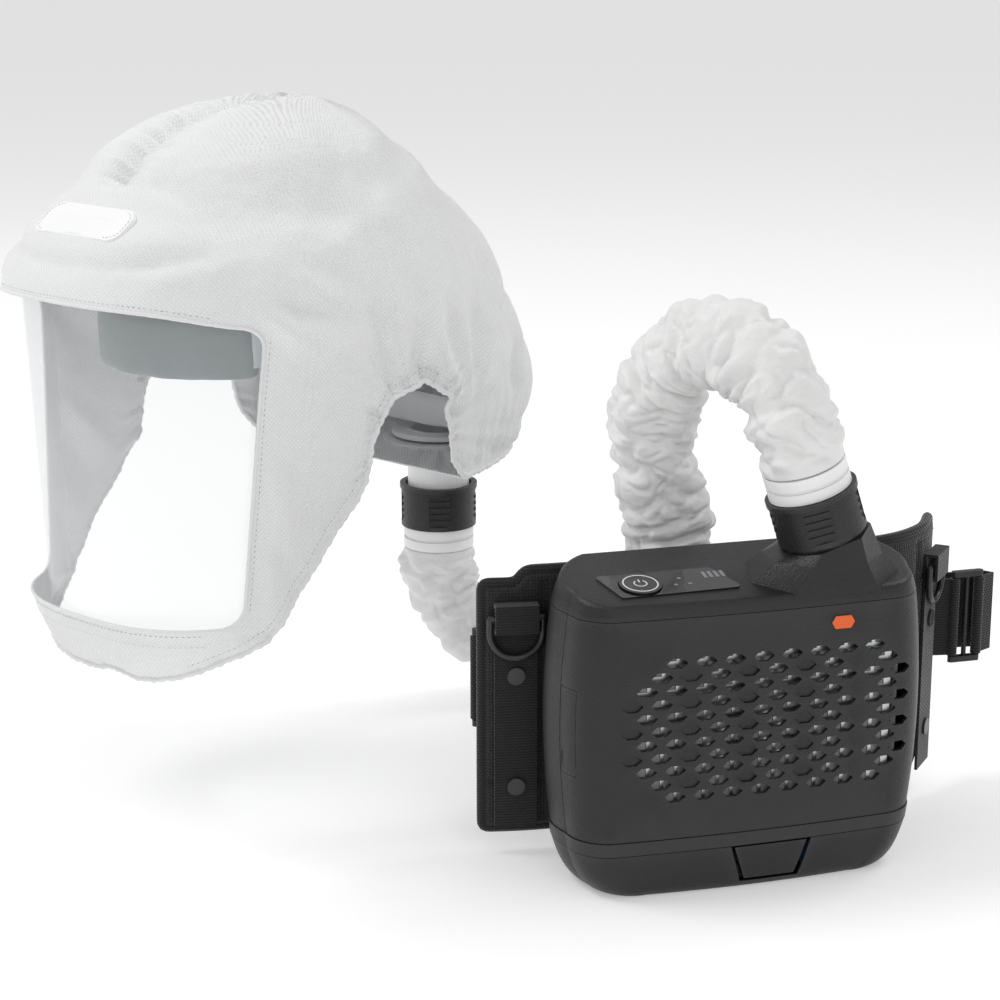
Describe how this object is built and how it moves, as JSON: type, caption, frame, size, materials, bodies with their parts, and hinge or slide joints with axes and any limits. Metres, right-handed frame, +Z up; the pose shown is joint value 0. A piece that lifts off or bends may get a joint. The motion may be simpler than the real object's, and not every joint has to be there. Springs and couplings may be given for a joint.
{
  "type": "powered air respirator",
  "caption": "Loose-fitting white hood with clear visor and head harness, fed through a sleeved breathing hose by a belt-worn filter blower.",
  "frame": {"origin": "middle of the wearer's head at headband level, between the ears", "axes": "+Z up the wearer, -Y the way the wearer looks, +X towards the wearer's left"},
  "size_m": [0.4873, 0.44, 0.407],
  "materials": {
    "hood_fabric": "white embossed nonwoven",
    "hose_sleeve": "white crinkled film sleeve",
    "elastic": "white elastic tape",
    "visor_film": "clear glossy film",
    "air_duct_film": "white coated fabric",
    "harness_plastic": "grey moulded plastic",
    "brow_foam": "grey-green foam",
    "white_plastic": "smooth white plastic",
    "seal_rubber": "matt rubber",
    "black_plastic": "fine-grained black plastic",
    "gloss_black": "glossy overlay",
    "lamp": "translucent",
    "orange_badge": "orange",
    "inner_plastic": "grey plastic",
    "filter_paper": "pleated paper",
    "steel": "plain steel",
    "contact_metal": "gold plated",
    "cell_wrap": "shrink film",
    "board": "solder mask",
    "belt_fabric": "black padded fabric",
    "webbing": "black woven webbing",
    "ring_plastic": "black acetal"
  },
  "bodies": {
    "root": {"air_duct": "air_duct_film", "base_rim": "black_plastic", "battery_pins": "contact_metal", "belt_bracket": "black_plastic", "belt_pad": "belt_fabric", "breathing_hose": "hose_sleeve", "brow_band": "hood_fabric", "brow_pad": "brow_foam", "cheek_left": "hood_fabric", "cheek_right": "hood_fabric", "chin_piece": "hood_fabric", "circuit_board": "board", "crown_left": "hood_fabric", "crown_right": "hood_fabric", "crown_straps": "harness_plastic", "fan_motor": "steel", "fan_volute": "inner_plastic", "headband": "harness_plastic", "hem_elastic": "elastic", "hose_cuffs": "white_plastic", "housing_screws": "steel", "indicator_lamps": "lamp", "inlet_flange": "white_plastic", "inlet_nut": "white_plastic", "label_patch": "hood_fabric", "nape_piece": "hood_fabric", "panel_overlay": "gloss_black", "ratchet_housing": "harness_plastic", "rear_housing": "black_plastic", "ring_straps": "webbing", "slider_tabs": "webbing", "sliders": "black_plastic", "snap_studs": "ring_plastic", "spigot_seals": "seal_rubber", "temple_studs": "harness_plastic", "top_housing": "black_plastic", "visor": "visor_film"},
    "power_button": {"power_button": "gloss_black"},
    "battery": {"battery_case": "black_plastic", "battery_cells": "cell_wrap"},
    "battery_latch": {"battery_latch": "black_plastic"},
    "filter_cover": {"filter_cover": "black_plastic", "badge": "orange_badge", "spark_arrestor": "steel", "prefilter": "filter_paper", "filter_frame": "inner_plastic", "filter_media": "filter_paper", "filter_seal": "seal_rubber"},
    "cover_latch": {"cover_latch": "black_plastic"},
    "upper_collar": {"upper_collar": "black_plastic"},
    "lower_collar": {"lower_collar": "black_plastic"},
    "impeller": {"impeller": "inner_plastic"},
    "ratchet_knob": {"ratchet_knob": "harness_plastic", "ratchet_pinion": "harness_plastic"},
    "d_ring_left": {"d_ring_left": "ring_plastic"},
    "d_ring_right": {"d_ring_right": "ring_plastic"},
    "waist_strap_left": {"waist_strap_left": "webbing", "buckle_plug": "black_plastic"},
    "waist_strap_right": {"waist_strap_right": "webbing", "buckle_socket": "black_plastic"}
  },
  "joints": [
    {"name": "power_button_press", "type": "slide", "parent": "root", "child": "power_button", "axis": [-0.1473, 0.092, -0.9848], "range_m": [0, 0.001], "stiffness_N_per_m": 2000},
    {"name": "battery_slide", "type": "slide", "parent": "root", "child": "battery", "axis": [0.848, -0.5299, 0], "range_m": [0, 0.08]},
    {"name": "battery_latch_press", "type": "slide", "parent": "battery", "child": "battery_latch", "axis": [-0.848, 0.5299, 0], "range_m": [0, 0.002], "stiffness_N_per_m": 1500},
    {"name": "filter_cover_pull", "type": "slide", "parent": "root", "child": "filter_cover", "axis": [0.848, -0.5299, 0], "range_m": [0, 0.06]},
    {"name": "cover_latch_press", "type": "slide", "parent": "filter_cover", "child": "cover_latch", "axis": [0.5299, 0.848, 0], "range_m": [0, 0.002], "stiffness_N_per_m": 1500},
    {"name": "upper_collar_turn", "type": "hinge", "parent": "root", "child": "upper_collar", "pos_m": [0, 0.156, -0.146], "axis": [0, 0, 1], "range_deg": [0, 30]},
    {"name": "lower_collar_turn", "type": "hinge", "parent": "root", "child": "lower_collar", "pos_m": [0.33683, 0.1036, -0.093], "axis": [-0.1638, -0.2621, 0.9511], "range_deg": [0, 30]},
    {"name": "impeller_spin", "type": "hinge", "parent": "root", "child": "impeller", "pos_m": [0.30334, 0.08208, -0.191], "axis": [-0.848, 0.5299, 0], "continuous": true},
    {"name": "ratchet_knob_turn", "type": "hinge", "parent": "root", "child": "ratchet_knob", "pos_m": [0, 0.112, -0.005], "axis": [0, 1, 0], "continuous": true},
    {"name": "d_ring_left_swing", "type": "hinge", "parent": "root", "child": "d_ring_left", "pos_m": [0.2128, -0.00558, -0.142], "axis": [-0.6496, -0.7603, 0], "range_deg": [0, 150]},
    {"name": "d_ring_right_swing", "type": "hinge", "parent": "root", "child": "d_ring_right", "pos_m": [0.33113, 0.23196, -0.139], "axis": [0.2808, -0.9598, 0], "range_deg": [0, 150]},
    {"name": "waist_strap_left_swing", "type": "hinge", "parent": "root", "child": "waist_strap_left", "pos_m": [0.18632, -0.00989, -0.181], "axis": [0, 0, 1], "range_deg": [0, 150]},
    {"name": "waist_strap_right_swing", "type": "hinge", "parent": "root", "child": "waist_strap_right", "pos_m": [0.33364, 0.27776, -0.181], "axis": [0, 0, 1], "range_deg": [-150, 0]}
  ]
}
